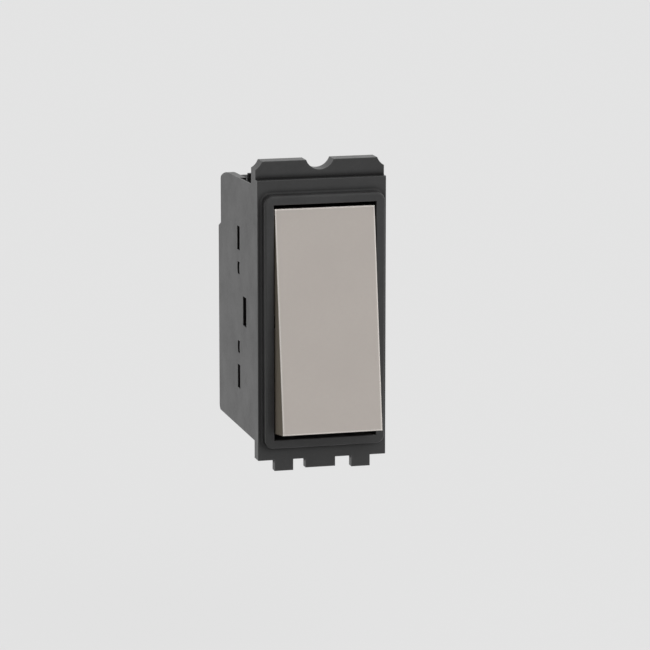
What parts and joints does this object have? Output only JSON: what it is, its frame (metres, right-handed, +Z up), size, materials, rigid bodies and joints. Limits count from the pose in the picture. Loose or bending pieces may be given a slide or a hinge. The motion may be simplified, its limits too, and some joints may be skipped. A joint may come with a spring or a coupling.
{
  "type": "rocker light switch module",
  "caption": "Narrow rocker light switch module with a raised rim round the rocker, a notched screw lug above, locating tabs below and rear wire terminals.",
  "frame": {"origin": "middle of the rocker window, in the plane of the front plate", "axes": "+X to the right as seen from the front, +Y to the back, +Z up towards the screw lug"},
  "size_m": [0.0232, 0.0373, 0.0551],
  "materials": {
    "housing_plastic": "fine moulded texture, charcoal",
    "rocker_plastic": "satin, warm grey",
    "base_plastic": "moulded, black",
    "cover_plastic": "moulded, natural",
    "carrier_plastic": "moulded, off white",
    "spring_steel": "drawn wire",
    "contact_brass": "rolled strip",
    "contact_silver": "bright silver alloy",
    "terminal_brass": "sawn bar",
    "screw_steel": "zinc plated"
  },
  "bodies": {
    "module": {"housing": "housing_plastic", "rear_base": "base_plastic", "chamber_cover": "cover_plastic", "common_bracket": "contact_brass", "upper_contact_arm": "contact_brass", "lower_contact_arm": "contact_brass", "fixed_tip_upper": "contact_silver", "fixed_tip_lower": "contact_silver", "upper_terminal": "terminal_brass", "common_terminal": "terminal_brass", "lower_terminal": "terminal_brass"},
    "rocker": {"rocker_cap": "rocker_plastic", "rocker_carrier": "carrier_plastic", "plunger_spring": "spring_steel"},
    "plunger": {"plunger": "carrier_plastic"},
    "contact": {"moving_contact": "contact_brass", "moving_tip_upper": "contact_silver", "moving_tip_lower": "contact_silver"},
    "upper_screw": {"upper_terminal_screw": "screw_steel"},
    "common_screw": {"common_terminal_screw": "screw_steel"},
    "lower_screw": {"lower_terminal_screw": "screw_steel"}
  },
  "joints": [
    {"name": "rocker_tilt", "type": "hinge", "parent": "module", "child": "rocker", "pos_m": [0, -0.00049, 0], "axis": [1, 0, 0], "range_deg": [0, 16.06]},
    {"name": "contact_rock", "type": "hinge", "parent": "module", "child": "contact", "pos_m": [0, 0.0128, 0], "axis": [1, 0, 0], "range_deg": [-13.51, 0]},
    {"name": "plunger_slide", "type": "slide", "parent": "rocker", "child": "plunger", "axis": [0, -0.9902, 0.1397], "range_m": [0, 0.0008], "stiffness_N_per_m": 400, "springref_m": -0.0015, "deforming": ["plunger_spring"]},
    {"name": "upper_screw_travel", "type": "slide", "parent": "module", "child": "upper_screw", "axis": [-0.7071, -0.7071, 0], "range_m": [0, 0.0025]},
    {"name": "common_screw_travel", "type": "slide", "parent": "module", "child": "common_screw", "axis": [-0.7071, -0.7071, 0], "range_m": [0, 0.0025]},
    {"name": "lower_screw_travel", "type": "slide", "parent": "module", "child": "lower_screw", "axis": [-0.7071, -0.7071, 0], "range_m": [0, 0.0025]}
  ],
  "couplings": [
    {"joint": "contact_rock", "follows": "rocker_tilt", "ratio": -0.8406}
  ]
}
